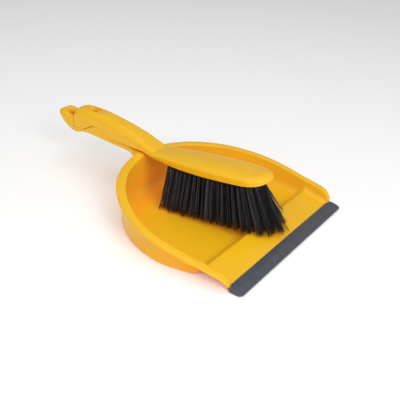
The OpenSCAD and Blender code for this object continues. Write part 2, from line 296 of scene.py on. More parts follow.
def rounded(corners, steps=4):
    """Path through (u, v, reach) corners. Each corner between the ends becomes an arc that starts and
    ends at its reach from the corner, and each straight stretch gets a point near both of its ends."""
    held = 1.2
    ends = []
    for k, (u, v, reach) in enumerate(corners):
        here = Vector((u, v))
        if k in (0, len(corners) - 1):
            ends.append((here, here))
            continue
        before = (Vector(corners[k - 1][:2]) - here).normalized()
        after = (Vector(corners[k + 1][:2]) - here).normalized()
        ends.append((here + before * reach, here + after * reach))
    path = []
    for k, (u, v, _) in enumerate(corners):
        start, stop = ends[k]
        if start == stop:
            path.append(start)
        else:
            for i in range(steps + 1):
                t = i / steps
                path.append(start * (1 - t) ** 2 + Vector((u, v)) * 2 * t * (1 - t) + stop * t**2)
        if k < len(corners) - 1:
            to = ends[k + 1][0]
            near = min(held / max((to - stop).length, 0.01), 0.3)
            path.append(stop.lerp(to, near))
            path.append(stop.lerp(to, 1 - near))
    return path


# =====================================================================================
# Dustpan
# =====================================================================================


def floor_line(x):
    """Top of the floor without its rounding: level, up to the crest, down to the lip."""
    if x < X_SLOPE:
        return FLOOR_T
    if x < X_CREST:
        return mix(FLOOR_T, CREST_Z, (x - X_SLOPE) / (X_CREST - X_SLOPE))
    return mix(CREST_Z, LIP_EDGE_Z, (x - X_CREST) / (X_LIP - X_CREST))


def floor_z(x):
    """Top of the floor, with both creases rounded."""
    crease = 1.3
    return sum(floor_line(x + k * crease) for k in (-1, -0.5, 0, 0.5, 1)) / 5


def front_turn(x):
    """1 behind the front corner, then a quarter turn down to 0 at the lip."""
    return quarter(clamp01((x - X_ROUND) / (X_LIP - X_ROUND)))


def rim_z(x):
    line = mix(RIM_BACK_Z, RIM_FRONT_Z, (x - X_BACK) / (X_ROUND - X_BACK))
    return line if x <= X_ROUND else mix(RIM_END_Z, RIM_FRONT_Z, front_turn(x))


def side_y(x):
    """Half width over the wall, in front of the half ellipse: a straight taper with a soft start."""
    soft = 7.0
    span = X_LIP - X_ARC
    fall = (WALL_HALF_W - FRONT_HALF_W) / (math.hypot(span, soft) - soft)
    return WALL_HALF_W - fall * (math.hypot(x - X_ARC, soft) - soft)


def tray_stations():
    """Places along the outside of the wall: (x, y, outward x, outward y), from the front right corner
    round the back to the front left corner."""
    front = [X_ROUND + (X_LIP - X_ROUND) * math.sin(math.radians(a)) for a in range(90, -1, -9)]
    front += [mix(X_ROUND, X_CREST + 2, t) for t in (0.3, 0.6, 0.85)]
    for crease in (X_CREST, X_SLOPE):
        front += [crease + d for d in (1.7, 1.0, 0.35, -0.35, -1.0, -1.7)]
    front += [mix(X_SLOPE - 2, X_ARC, t) for t in (0.1, 0.3, 0.5, 0.7, 0.9)]
    right = [(x, -side_y(x), 0.0, -1.0) for x in front]
    back = []
    radius_x = ARC_LEN_X - RIM_OVERHANG
    turns = 120
    for k in range(turns + 1):
        a = math.radians(270 - 180 * k / turns)
        n = Vector((math.cos(a) / radius_x, math.sin(a) / WALL_HALF_W)).normalized()
        back.append((X_ARC + radius_x * math.cos(a), WALL_HALF_W * math.sin(a), n.x, n.y))
    left = [(x, -y, nx, -ny) for x, y, nx, ny in reversed(right)]
    return right + back + left, len(right)


def neck_share(x, y):
    """1 where the handle joins the rim, 0 away from it."""
    return smoothstep(26, 11.5, abs(y)) if x < X_ARC else 0.0


# How far outside the rim's root the wall's outer face meets the ground, along X
FOOT = [(X_BACK, 0.4), (X_BACK + 60, 1.2), (X_ARC - 10, 1.7), (X_ARC, 1.2), (X_ARC + 20, -0.8),
        (X_SLOPE - 4, -2.6), (X_SLOPE + 3, -4.6), (X_CREST, -5.0), (X_LIP, -5.0)]


def tray_section(x, y):
    """The wall's section as three paths of (distance outside the wall, height): from under the floor
    to the inside of the rolled edge, round the edge to the top, and from the top to the floor. The
    section gets lower and narrower in the front corners."""
    base = floor_z(x)
    neck = neck_share(x, y)
    top = rim_z(x) + (NECK_Z - RIM_BACK_Z) * neck
    tall = min(1.0, (rim_z(x) - base) / 16)
    overhang = mix(0.9, RIM_OVERHANG, front_turn(x))
    wide = overhang / RIM_OVERHANG
    under = base - FLOOR_T
    roof = top - EDGE_T * tall
    edge_inside = overhang - EDGE_T * wide
    edge_top = overhang - 3.4 * wide
    wall_top_t = WALL_T + 2.7 * clamp01((X_ARC - 25 - x) / 90) + 2.6 * neck
    inner_foot = -WALL_T - (2.4 + FILLET_R) * tall
    skirted = 1 - smoothstep(X_SLOPE - 2, X_CREST - 2, x)
    foot = smooth_curve(FOOT, x) * tall
    low = rounded([
        (inner_foot - 2 * tall, under, 0),
        (foot, under, mix(5.5, 1.6, skirted) * tall),
        (0, roof, 1.0 * tall),
        (edge_inside, roof, 0),
    ])
    edge = rounded([
        (edge_inside, roof, 0),
        (edge_inside, top - RIM_DROP * tall, 0.6 * wide),
        (overhang, top - RIM_DROP * tall, 0.9 * wide),
        (overhang, top - 0.25 * tall, 2.3 * min(tall, wide)),
        (edge_top, top, 0),
    ])
    high = rounded([
        (edge_top, top, 0),
        (overhang - 5.4 * wide, top + 0.25 * tall, 1.0 * wide),
        (-wall_top_t, top, (1.9 + 2.2 * neck) * tall),
        (-WALL_T - 2.4 * tall, base, FILLET_R * tall),
        (inner_foot - 2 * tall, base, 0),
    ], steps=7)
    return low, edge, high


def bezier(p0, p1, p2, p3, t):
    """Point at t on the cubic curve with these four control points."""
    u = 1 - t
    return p0 * u**3 + p1 * 3 * u * u * t + p2 * 3 * u * t * t + p3 * t**3


# Points across the handle's top, from the shoulder to the middle: distance out, share of the rib
RIB_ROW = [(9.2, 0.0), (8.7, 0.06), (8.35, 0.3), (8.0, 0.72), (7.5, 0.9), (6.7, 0.97), (5.4, 1.0),
           (3.0, 1.0), (0.0, 1.0)]
HALF_ROW = len(RIB_ROW) - 1
SHOULDER_Y = RIB_ROW[0][0]
X_NECK = X_BACK - 14.5  # where the handle leaves the neck
TIP_LEN = 21.0  # length over which the upturned end narrows to its tip


def joint_share(x):
    """0 under the brush's end and its arch, 1 ahead of them, where the joint with the pan is open."""
    return smoothstep(X_ARCH + 18, X_ARCH + 38, x)


def arch_bell(x, half_len):
    """Height of the arch in the brush's skirt at x, as a share of its rise."""
    u = abs(x - X_ARCH) / half_len
    return math.cos(math.pi / 2 * u) ** 1.2 if u < 1 else 0.0


# Height of the handle's lower edge, along X
HANDLE_LOW = [(X_TIP, 56.6), (X_TIP + 6, 55.4), (X_TIP + 12, 52.2), (X_TIP + 18, 48.6),
              (X_TIP + 25, 45.0), (X_NOSE - 2, 43.4), (X_NOSE + 6, 44.1), (X_NOSE + 16, 46.8),
              (X_NOSE + 27, 47.4), (X_NOSE + 53, 46.0), (X_NECK - 6, 44.4), (X_NECK, 44.2)]


def handle_shape(x):
    """Half width, height of the shoulder, height of the lower edge, and how far the rib stands up. A
    boss under the arch of the brush raises the shoulder."""
    t = clamp01((X_NOSE - x) / (X_NOSE - X_TIP))
    shoulder = mix(NECK_Z, SHOULDER_Z, smoothstep(X_NECK, X_NECK - 8, x))
    shoulder += (ARCH_RISE - 0.5) * arch_bell(x, ARCH_HALF_LEN - 0.15)
    rib_end = smoothstep(X_NECK, X_NECK - 6, x) * smoothstep(X_NOSE + 4.2, X_NOSE + 7, x)
    rib = max(0.0, RIB_TOP_Z - shoulder) * rib_end
    if t > 0:
        shoulder = mix(SHOULDER_Z, NOSE_Z, round_rise(t, 0.05))
        shoulder -= 5.6 * smoothstep(0.68, 1.04, t) + 4.6 * smoothstep(0.6, 0.04, t)
    width = PAN_HANDLE_HALF_W - 0.5 * smoothstep(0, 0.4, t)
    return width, shoulder, smooth_curve(HANDLE_LOW, x), rib


def handle_ring(x):
    """Closed section of the pan's handle at x: its top, its right edge, its inside, its left edge.
    The hollow inside fills up where the nose starts, and the nose rounds off at the tip."""
    width, shoulder, low, rib = handle_shape(x)
    nose = smoothstep(X_NOSE + 4, X_NOSE - 1, x)
    groove = mix(0.6, 1.7, joint_share(x))
    fill = smoothstep(X_NOSE + 4, X_NOSE - 2, x)
    top = []
    for k, (place, share) in enumerate(RIB_ROW):
        y = mix(place, SHOULDER_Y * (1 - k / HALF_ROW), nose) * (width - 2.8) / SHOULDER_Y
        crown = 0.7 * nose * (1 - (y / width) ** 2)
        dish = NOSE_DISH * nose * math.exp(-(((x - X_HANG - 2) / 9.4) ** 4) - (y / 5.8) ** 4)
        top.append((y, shoulder + rib * share + crown - dish))
    top += [(-y, z) for y, z in reversed(top[:-1])]
    inner = width - HANDLE_WALL
    edge = [tuple(p) for p in rounded([
        (inner, mix(shoulder - HANDLE_WALL, low, fill), 0),
        (inner, low + 0.08, 0.5 - 0.42 * fill),
        (width, low, mix(0.9, min(5.0, 0.42 * (shoulder - low)), nose)),
        (width, shoulder - 0.15, min(mix(groove, 4.6, nose), 0.45 * (shoulder - low))),
        (*top[0], 0),
    ])][1:-1]
    inside = [(y * inner / top[0][0], mix(z - HANDLE_WALL, low, fill)) for y, z in top]
    ring = top + [(-y, z) for y, z in reversed(edge)] + inside[::-1] + edge
    plan = max(0.05, round_rise(x - X_TIP, TIP_LEN) ** 1.25)
    face = max(0.1, round_rise(x - X_TIP, 7))
    middle = (shoulder + low) / 2
    return [(x, y * plan, middle + (z - middle) * face) for y, z in ring]


def neck_and_handle(made, rows, stations, first, stop, corner, top):
    """Lofts back from the opening in the rim, over the neck's two hollow curves, to the nose. Corner and
    top are the places of the rolled edge's inner corner and of its top in a row."""
    opening = [rows[u][top] for u in range(stop, first - 1, -1)]
    opening += rows[first][corner + 1:top][::-1]
    opening += [rows[u][corner] for u in range(first, stop + 1)]
    opening += rows[stop][corner + 1:top]
    target = [Vector(p) for p in handle_ring(X_NECK)]
    ahead_by, reach = 0.5, 9.0
    ahead = [Vector(p) for p in handle_ring(X_NECK + ahead_by)]
    start = [Vector(made.verts[v]) for v in opening]
    start_half_w = max(abs(p.y) for p in start)
    nx, ny = stations[stop][2:]
    steps = 14
    rings = [opening]
    for j in range(1, steps + 1):
        ring = []
        for a, b, c in zip(start, target, ahead):
            side = math.copysign(1.0, a.y)
            share = (abs(a.y) / start_half_w) ** 2
            along_rim = Vector((ny, -side * abs(nx), 0))
            outward = Vector((nx, side * abs(ny), 0))
            leave = outward.lerp(along_rim, share).normalized() * mix(4.0, 8.4, share)
            arrive = (c - b) / ahead_by * reach
            ring.append(made.add(*bezier(a, a + leave, b + arrive, b, j / steps)))
        rings.append(ring)
    places = [mix(X_NECK, X_NOSE + 8, k / 44) for k in range(1, 45)]
    places += [mix(X_NOSE + 8, X_NOSE, k / 10) for k in range(1, 11)]
    places += [X_NOSE - d for d in (0.02, 0.06, 0.14, 0.26, 0.42, 0.64, 0.96, 1.36, 1.8, 2.6, 3.5)]
    places += [mix(X_NOSE - 4.5, X_TIP + TIP_LEN, k / 12) for k in range(13)]
    places += [X_TIP + TIP_LEN * (1 - math.sin(math.radians(a))) for a in range(3, 86, 3)]
    for x in places:
        rings.append([made.add(*p) for p in handle_ring(x)])
    made.loft(rings, open_start=True)


def pan_mesh():
    """The tray as rows of points, each from the middle line under the floor, round the wall's section
    and back over the floor, with the neck and handle lofted from the opening at the back."""
    stations, front = tray_stations()
    last = len(stations) - 1
    half = last // 2
    made = MeshBuilder()
    spine_x = []
    for u in range(half + 1):
        back_share = (u - front) / (half - front)
        spine_x.append(stations[u][0] if u < front else mix(X_ARC, X_ARC - ARC_LEN_X / 2, back_share))
    top_spine = [made.add(x, 0, floor_z(x)) for x in spine_x]
    low_spine = [made.add(x, 0, floor_z(x) - FLOOR_T) for x in spine_x]
    floor_shares = (0.04, 0.3, 0.6, 0.9)
    rows = []
    for u, (x, y, nx, ny) in enumerate(stations):
        low, edge, high = tray_section(x, y)
        k = min(u, last - u)
        foot = (x + nx * high[-1][0], y + ny * high[-1][0])
        wall = [made.add(x + nx * d, y + ny * d, z) for d, z in low + edge[1:] + high[1:]]
        floor_top, floor_low = [], []
        for t in floor_shares:
            fx, fy = mix(foot[0], spine_x[k], t), mix(foot[1], 0, t)
            floor_top.append(made.add(fx, fy, floor_z(fx)))
            floor_low.append(made.add(fx, fy, floor_z(fx) - FLOOR_T))
        rows.append([low_spine[k]] + floor_low[::-1] + wall + floor_top + [top_spine[k]])
    corner = len(floor_shares) + len(low)
    top = corner + len(edge) - 1
    first, stop = half - HALF_ROW, half + HALF_ROW
    for u in range(last):
        if first <= u < stop:
            made.strip(rows[u][:corner + 1], rows[u + 1][:corner + 1])
            made.strip(rows[u][top:], rows[u + 1][top:])
        else:
            made.strip(rows[u], rows[u + 1])
    for row in (rows[0], rows[last]):
        made.faces.append(tuple(row))
    neck_and_handle(made, rows, stations, first, stop, corner, top)
    return made


def build_pan():
    """The pan, with the hanging hole cut through its upturned end."""
    obj = pan_mesh().build("pan_moulding")
    flare = [(HANG_R + 2.6, 43), (HANG_R + 1.2, 45.8), (HANG_R + 0.4, 46.8), (HANG_R, 48),
             (HANG_R, 60.4), (HANG_R + 0.4, 61.4), (HANG_R + 1.2, 62.3), (HANG_R + 2.4, 66)]
    cut(obj, hole_cutter(flare, X_HANG))
    clean(obj)
    shade_smooth(obj, 38)
    return obj


# =====================================================================================
# Lip strip
# =====================================================================================


def build_lip():
    """Extruded rubber profile with a fine line along its top. Its ends are cut with a soft edge, and
    its two front corners are rounded off."""
    profile = rounded([
        (X_LIP - 0.2, LIP_EDGE_Z + 0.05, 0),
        (X_LIP - 1.6, LIP_EDGE_Z + 0.35, 0.1),
        (X_LIP - 1.6, LIP_EDGE_Z + 1.2, 0.5),
        (X_LIP + 4.4, LIP_EDGE_Z + 1.7, 0.4),
        (X_LIP + 4.9, LIP_EDGE_Z + 1.1, 0.15),
        (X_LIP + 5.4, LIP_EDGE_Z + 1.5, 0.3),
        (X_FRONT - 0.5, 2.5, 0.9),
        (X_FRONT, 0.9, 0.7),
        (X_FRONT - 1.6, 0, 1.0),
        (X_LIP + 1.6, 0, 1.0),
        (X_LIP + 0.2, 0.6, 0.3),
        (X_LIP + 0.2, LIP_EDGE_Z - 0.2, 0.1),
        (X_LIP - 0.2, LIP_EDGE_Z + 0.05, 0),
    ], steps=5)[:-1]
    made = MeshBuilder()
    half = LIP_HALF_W
    ends = [half - d for d in (0, 0.03, 0.12, 0.25, 0.4, 0.7, 1.1, 1.6, 2.2, 3.0, 4.0)]
    places = [-y for y in ends] + [mix(-half + 8, half - 8, k / 22) for k in range(23)] + ends[::-1]
    centre = Vector((X_LIP + 7, 1.8))
    corner_r = 4.0
    edge_r, edge_inset = 0.4, 0.35
    nose_len = 8.5
    rings = []
    for y in places:
        inset = edge_inset * (1 - round_rise(half - abs(y), edge_r))
        back = corner_r * (1 - round_rise(half - abs(y), corner_r))
        ring = []
        for p in profile:
            inward = (centre - p).normalized() * inset
            front = clamp01((p.x - X_FRONT + nose_len) / nose_len)
            ring.append(made.add(p.x + inward.x - back * front, y, p.y + inward.y))
        rings.append(ring)
    made.loft(rings)
    obj = made.build("lip_extrusion")
    shade_smooth(obj, 50)
    return obj


# =====================================================================================
# Brush stock
# =====================================================================================


def head_bottom(x):
    """Underside of the head: level, then rising gently towards the toe."""
    d = max(0.0, x - X_HEAD - 22)
    return 48.4 + 0.03 * d + 0.0006 * d * d


def stock_skirt(x):
    """Lower edge of the stock as if it had no arch."""
    return mix(SKIRT_Z, head_bottom(x), smoothstep(X_HEAD - 24, X_HEAD, x))


def stock_bottom(x):
    """Lower edge of the stock: the handle's skirt with the arch over the pan's boss, then the head."""
    return stock_skirt(x) + ARCH_RISE * arch_bell(x, ARCH_HALF_LEN)


# Heights and half widths of the stock, along X
HANDLE_TOP = [(X_END, 70.6), (X_END + 5, 74.2), (X_END + 12, 76.2), (X_END + 24, 76.9),
              (X_END + 36, 76.4), (X_END + 54, 74.5), (X_END + 70, 71.8), (X_END + 86, 68.6),
              (X_END + 100, 64.6), (X_END + 115, 59.2), (X_END + 123, 56.8), (X_END + 129, 54.2),
              (X_HEAD + 3, 49.5)]
HANDLE_HALF_WIDTHS = [(X_END, 12), (X_END + 24, 12.8), (X_END + 60, 12.9), (X_END + 90, 13.2),
                      (X_END + 108, 13.4), (X_HEAD + 4, 12.6)]
HEAD_TOP = [(X_HEAD - 30, 51), (X_HEAD - 12, 53.4), (X_HEAD, 55.0), (X_HEAD + 20, 57.6),
            (X_HEAD + 58, 62.6), (X_HEAD + 96, 66.2), (X_TOE, 68.6)]
HEAD_HALF_WIDTHS = [(X_HEAD - 34, 10.5), (X_HEAD - 20, 12.9), (X_HEAD - 2, 15.3), (X_HEAD + 20, 18.0),
                    (X_HEAD + 52, HEAD_HALF_W), (X_HEAD + 96, HEAD_HALF_W),
                    (X_TOE, 0.97 * HEAD_HALF_W)]


def dome(y, width, power):
    """1 on the middle line, 0 at the edge, squarer for a higher power."""
    return max(0.0, 1 - min(1.0, abs(y) / width) ** power) ** (1 / power)


def handle_surface(x, y):
    """Top of the handle over the whole stock, with the oval dish round its hanging hole."""
    width = handle_part_width(x)
    end = round_rise(x - X_END, END_ROUND)
    top = smooth_curve(HANDLE_TOP, min(x, X_HEAD + 3))
    top = mix(top - 6, top, end)
    shoulder = mix(stock_skirt(x), top, 0.34)
    dish = 1.6 * math.exp(-(((x - X_BRUSH_HOLE - 3) / 15) ** 4) - (y / 7) ** 4)
    power = mix(3.0, 3.7, smoothstep(X_HEAD - 53.9, X_HEAD - 13.9, x))
    return shoulder + (top - shoulder) * dome(y, width, power) - dish


def handle_part_width(x):
    """Half width of the handle, which closes in a round end inside the head."""
    back = mix(0.965, 1, round_rise(x - X_END, 1.2))
    front = (1 - clamp01((x - X_HEAD + 20) / 24) ** 4) ** (1 / 4)
    return max(0.5, smooth_curve(HANDLE_HALF_WIDTHS, min(x, X_HEAD + 4)) * back * front)


def head_surface(x, y):
    """Top of the head, or 0 where there is only the handle."""
    if x < X_HEAD - 30:
        return 0.0
    toe = round_rise(X_TOE - x, TOE_ROUND)
    low, top = stock_bottom(x), smooth_curve(HEAD_TOP, x)
    middle = mix(low, top, 0.45)
    top = mix(middle, top, toe)
    shoulder = mix(middle, mix(low, top, 0.44), toe)
    return shoulder + (top - shoulder) * dome(y, head_part_width(x), 2.7)


def head_part_width(x):
    toe = round_rise(X_TOE - x, TOE_LEN)
    return max(0.3, smooth_curve(HEAD_HALF_WIDTHS, max(x, X_HEAD - 34)) * toe)


def stock_width(x):
    handle, head = handle_part_width(x), head_part_width(x)
    if x < X_HEAD - 34:
        return handle
    if x > X_HEAD + 2:
        return head
    return max(handle, head)


def stock_ring(x):
    """Closed section of the brush stock at x, from the middle of its underside round both sides."""
    width = stock_width(x)
    end = round_rise(x - X_END, END_ROUND)
    toe = round_rise(X_TOE - x, TOE_ROUND)
    low = stock_bottom(x)
    middle = mix(low, smooth_curve(HEAD_TOP, x), 0.45) if x > X_HEAD else mix(low, 60, 0.6)
    low = mix(middle, low, mix(0.7, 1, end) * toe)
    crown = soft_max(handle_surface(x, 0), head_surface(x, 0), 0.5)
    channel = smoothstep(X_END + 3, X_END + 4.5, x) * smoothstep(X_HEAD - 26, X_HEAD - 34, x)
    channel_w = min(CHANNEL_HALF_W, 0.7 * width)
    roof = max(low, mix(low, min(crown - 3.0, max(RIB_TOP_Z + 1.8, crown - 6.0)), channel))
    side_top = max(shoulder_height(x), low + 0.3)
    lower = rounded([
        (0, roof, 0),
        (channel_w, roof, min(2.5, 0.4 * (roof - low) + 0.05)),
        (channel_w, low, 0.3 * channel + 0.02),
        (width, low, min(mix(0.6, 1.3, joint_share(x)), 0.3 * width, 0.35 * (side_top - low))),
        (width, side_top, 0),
    ])
    upper = []
    turns = 22
    for k in range(1, turns + 1):
        a = math.radians(90 * k / turns)
        y = width * math.cos(a)
        upper.append((y, max(side_top, soft_max(handle_surface(x, y), head_surface(x, y), 0.5))))
    half = [tuple(p) for p in lower] + upper
    return [(x, y, z) for y, z in half] + [(x, -y, z) for y, z in reversed(half[1:-1])]


def shoulder_height(x):
    """Top of the straight side, at the full width of the stock."""
    width = stock_width(x)
    return soft_max(handle_surface(x, width), head_surface(x, width), 0.5)


def stock_stations():
    """Places along X of the stock's sections, close together where its shape turns fast."""
    end_angles = (3, 10, 18, 27, 36, 46, 57, 68, 80)
    places = [X_END + END_ROUND * (1 - math.cos(math.radians(a))) for a in end_angles]
    places += [mix(X_END + END_ROUND, X_HEAD - 34, k / 56) for k in range(57)]
    places += [mix(X_HEAD - 34, X_HEAD + 6, k / 46) for k in range(1, 47)]
    places += [mix(X_HEAD + 6, X_TOE - TOE_LEN, k / 48) for k in range(1, 49)]
    places += [X_TOE - TOE_LEN * (1 - math.sin(math.radians(a))) for a in range(5, 90, 5)]
    return places


def build_stock():
    """The brush's stock, with the oval recess and the hanging hole cut in its handle."""
    made = MeshBuilder()
    made.loft([[made.add(*p) for p in stock_ring(x)] for x in stock_stations()])
    obj = made.build("brush_moulding")
    floor = smooth_curve(HANDLE_TOP, X_BRUSH_HOLE) - RECESS_DEPTH
    recess = [(3.6, floor), (4.3, floor + 0.15), (4.75, floor + 0.6), (4.9, floor + 1.6),
              (5.2, floor + 2.4), (5.9, floor + 2.95), (7.4, floor + 3.45), (9.0, floor + 5.5)]
    cut(obj, oval_cutter(recess, X_BRUSH_HOLE - 3, X_BRUSH_HOLE + 6))
    r = BRUSH_HOLE_R
    hole = [(r, 56), (r, floor - 0.6), (r + 0.4, floor - 0.1), (r + 1, floor + 0.3), (r + 1, floor + 3)]
    cut(obj, hole_cutter(hole, X_BRUSH_HOLE))
    clean(obj)
    shade_smooth(obj, 42)
    return obj


# =====================================================================================
# Bristles
# =====================================================================================

ROW_Y = [-13.0, -6.5, 0.0, 6.5, 13.0]
TUFT_PITCH = 5.8
X_FIRST_TUFT = X_HEAD + 22
X_LAST_TUFT = X_TOE - 8
TUFT_R = 1.75
FILAMENTS = 54  # in a tuft
CLUMPS = 5  # that a tuft's filaments part into
STRAY_SHARE = 0.02
FILAMENT_SIDES = 4
FILAMENT_ROOT_R = 0.25
FILAMENT_TIP_R = 0.15
FILAMENT_PLACES = (0.0, 0.2, 0.42, 0.64, 0.84, 1.0)  # of the points along a filament, as shares
BRISTLE_SEED = 4100
# Height of the bristles' tips, along X: near the floor at the heel, higher towards the toe
TIP_Z = [(X_HEAD + 16.1, 3.0), (X_HEAD + 28.1, 3.2), (X_HEAD + 63.1, 5.0), (X_HEAD + 98.1, 7.2),
         (X_HEAD + 122.1, 9.0), (X_HEAD + 138.1, 9.0), (X_HEAD + 166.1, 7.0)]


def row_tufts(y):
    """Places along X of the tufts in the row at y: the rows follow the rounding of the toe."""
    count = 1 + int((X_LAST_TUFT - X_FIRST_TUFT - 0.065 * y * y) / TUFT_PITCH)
    return [X_FIRST_TUFT + i * TUFT_PITCH for i in range(count)]


def toe_share(x, y):
    """0 at the first tuft of the row at y, 1 at its last tuft."""
    return clamp01((x - X_FIRST_TUFT) / (row_tufts(y)[-1] - X_FIRST_TUFT))


def tuft_lean(x, y):
    """How far a tuft's tips lie ahead of and beside its root. The rows fan out ahead at the toe, and the
    toe has set a little to the left from lying against the pan."""
    share = toe_share(x, y)
    out = abs(y) / ROW_Y[-1]
    ahead = mix(5.8, mix(26.0, 22.5, out**2), share**2.1)
    beside = math.copysign(mix(16.0, 7.5, share**1.6) * out, y)
    return ahead, beside + 4.0 * share**2


def filament(rng, x, y, lean, clumps):
    """Centre line of one filament of the tuft at (x, y), from its root in the stock to its tip. The lean
    moves the tips of the whole tuft, and each filament's tip moves with one of the clumps."""
    ahead, beside = tuft_lean(x, y)
    turn = 2 * math.pi * rng.random()
    r = TUFT_R * math.sqrt(rng.random())
    root = Vector((x + r * math.cos(turn), y + r * math.sin(turn), head_bottom(x) + 1.2))
    clump = clumps[rng.randrange(len(clumps))]
    across = r / TUFT_R
    tip_x = x + ahead + lean[0] + clump[0]
    tip_x += 2.6 * across * math.cos(turn) + rng.gauss(0, 0.55)
    tip_y = y + beside + lean[1] + clump[1]
    tip_y += 6.2 * across * math.sin(turn) + rng.gauss(0, 0.7)
    stray = rng.random() < STRAY_SHARE
    if stray:
        tip_x += rng.gauss(0, 2.4)
        tip_y += rng.gauss(0, 2.6)
    ground = floor_z(min(tip_x, X_LIP)) + 0.45
    lift = 0.3 * toe_share(x, y) * max(0.0, tip_y - 8)
    tip_z = smooth_curve(TIP_Z, tip_x) + lift + abs(rng.gauss(0, 0.7)) + (rng.random() * 2.0 if stray else 0)
    tip_z = max(ground, tip_z)
    tip = Vector((tip_x, tip_y, tip_z))
    bow = Vector((rng.gauss(0, 0.35), rng.gauss(0, 0.45), 0))
    line = []
    for t in FILAMENT_PLACES:
        p = root.lerp(tip, t)
        side = t**1.22 - t
        p.x += (tip.x - root.x) * side
        p.y += (tip.y - root.y) * side
        line.append(p + bow * 4 * t * (1 - t))
    return line


def tube_verts(line, spin):
    """Points in metres of a thin tube along the line, thinner towards its tip."""
    verts = []
    for t, p in zip(FILAMENT_PLACES, line):
        radius = mix(FILAMENT_ROOT_R, FILAMENT_TIP_R, t**3)
        for k in range(FILAMENT_SIDES):
            a = spin + 2 * math.pi * k / FILAMENT_SIDES
            x, y = p.x + radius * math.cos(a), p.y + radius * math.sin(a)
            verts.append((x * MM, y * MM, p.z * MM))
    return verts


def tube_faces(base):
    """Faces of the closed tube whose points start at base."""
    sides = FILAMENT_SIDES
    rings = len(FILAMENT_PLACES)
    faces = []
    for row in range(base, base + (rings - 1) * sides, sides):
        for k in range(sides):
            a, b = row + k, row + (k + 1) % sides
            faces.append((a + sides, b + sides, b, a))
    tip = base + (rings - 1) * sides
    faces.append(tuple(range(base, base + sides)))
    faces.append(tuple(reversed(range(tip, tip + sides))))
    return faces


def build_bristles(row):
    """One row of tufts, each filament a tube of its own with its own shade."""
    rng = random.Random(BRISTLE_SEED + row)
    y = ROW_Y[row - 1]
    verts, faces, shades = [], [], []
    for x in row_tufts(y):
        lean = (rng.gauss(0, 0.5), rng.gauss(0, 0.7))
        clumps = [(rng.gauss(0, 0.9), rng.gauss(0, 1.3)) for _ in range(CLUMPS)]
        tuft_shade = rng.gauss(0, 0.07)
        for _ in range(FILAMENTS):
            line = filament(rng, x, y, lean, clumps)
            shade = clamp01(0.16 + tuft_shade + 0.6 * rng.random() ** 5 + rng.gauss(0, 0.08))
            tube = tube_verts(line, rng.random() * math.pi)
            faces += tube_faces(len(verts))
            verts += tube
            shades += [shade] * len(tube)
    name = f"bristles_row_{row}"
    mesh = bpy.data.meshes.new(name)
    mesh.from_pydata(verts, [], faces)
    mesh.attributes.new("shade", "FLOAT", "POINT").data.foreach_set("value", shades)
    mesh.update()
    mesh.shade_smooth()
    return add_object(name, mesh)


# =====================================================================================
# Materials
# =====================================================================================


class Shader:
    """A node material with a Principled surface, built step by step."""

    def __init__(self, name):
        self.material = bpy.data.materials.new(name)
        self.material.use_nodes = True
        self.tree = self.material.node_tree
        self.surface = self.tree.nodes["Principled BSDF"]

    def node(self, kind):
        return self.tree.nodes.new(kind)

    def link(self, source, target):
        self.tree.links.new(source, target)

    def set(self, values):
        for key, value in values.items():
            self.surface.inputs[key].default_value = value

    def coordinates(self, scale=(1, 1, 1)):
        place = self.node("ShaderNodeTexCoord")
        mapping = self.node("ShaderNodeMapping")
        mapping.inputs["Scale"].default_value = scale
        self.link(place.outputs["Object"], mapping.inputs["Vector"])
        return mapping.outputs["Vector"]

    def noise(self, scale, detail=2.0, roughness=0.5, stretch=(1, 1, 1)):
        made = self.node("ShaderNodeTexNoise")
        made.inputs["Scale"].default_value = scale
        made.inputs["Detail"].default_value = detail
        made.inputs["Roughness"].default_value = roughness
        self.link(self.coordinates(stretch), made.inputs["Vector"])
        return made.outputs["Fac"]

    def ramp(self, source, low, high, from_low=0.3, from_high=0.7):
        """Low at from_low of the source, high at from_high, held outside them."""
        made = self.node("ShaderNodeMapRange")
        made.inputs["From Min"].default_value = from_low
        made.inputs["From Max"].default_value = from_high
        made.inputs["To Min"].default_value = low
        made.inputs["To Max"].default_value = high
        self.link(source, made.inputs["Value"])
        return made.outputs["Result"]

    def blend(self, factor, a, b):
        """Colour between a and b; each is a colour or a socket."""
        made = self.node("ShaderNodeMix")
        made.data_type = "RGBA"
        self.link(factor, made.inputs["Factor"])
        for index, value in ((6, a), (7, b)):
            if isinstance(value, tuple):
                made.inputs[index].default_value = (*value, 1)
            else:
                self.link(value, made.inputs[index])
        return made.outputs[2]

    def openness(self, distance, own_faces_only):
        """1 where nothing lies within the distance, down to 0 where the surface is walled in, either
        by any object or by its own faces only."""
        made = self.node("ShaderNodeAmbientOcclusion")
        made.samples = 8
        made.only_local = own_faces_only
        made.inputs["Distance"].default_value = distance
        return made.outputs["AO"]

    def bump(self, layers):
        """Chains bumps of (height, strength, distance in metres)."""
        normal = None
        for height, strength, distance in layers:
            made = self.node("ShaderNodeBump")
            made.inputs["Strength"].default_value = strength
            made.inputs["Distance"].default_value = distance
            self.link(height, made.inputs["Height"])
            if normal:
                self.link(normal, made.inputs["Normal"])
            normal = made.outputs["Normal"]
        self.link(normal, self.surface.inputs["Normal"])

    def put(self, obj):
        obj.data.materials.clear()
        obj.data.materials.append(self.material)
        return obj


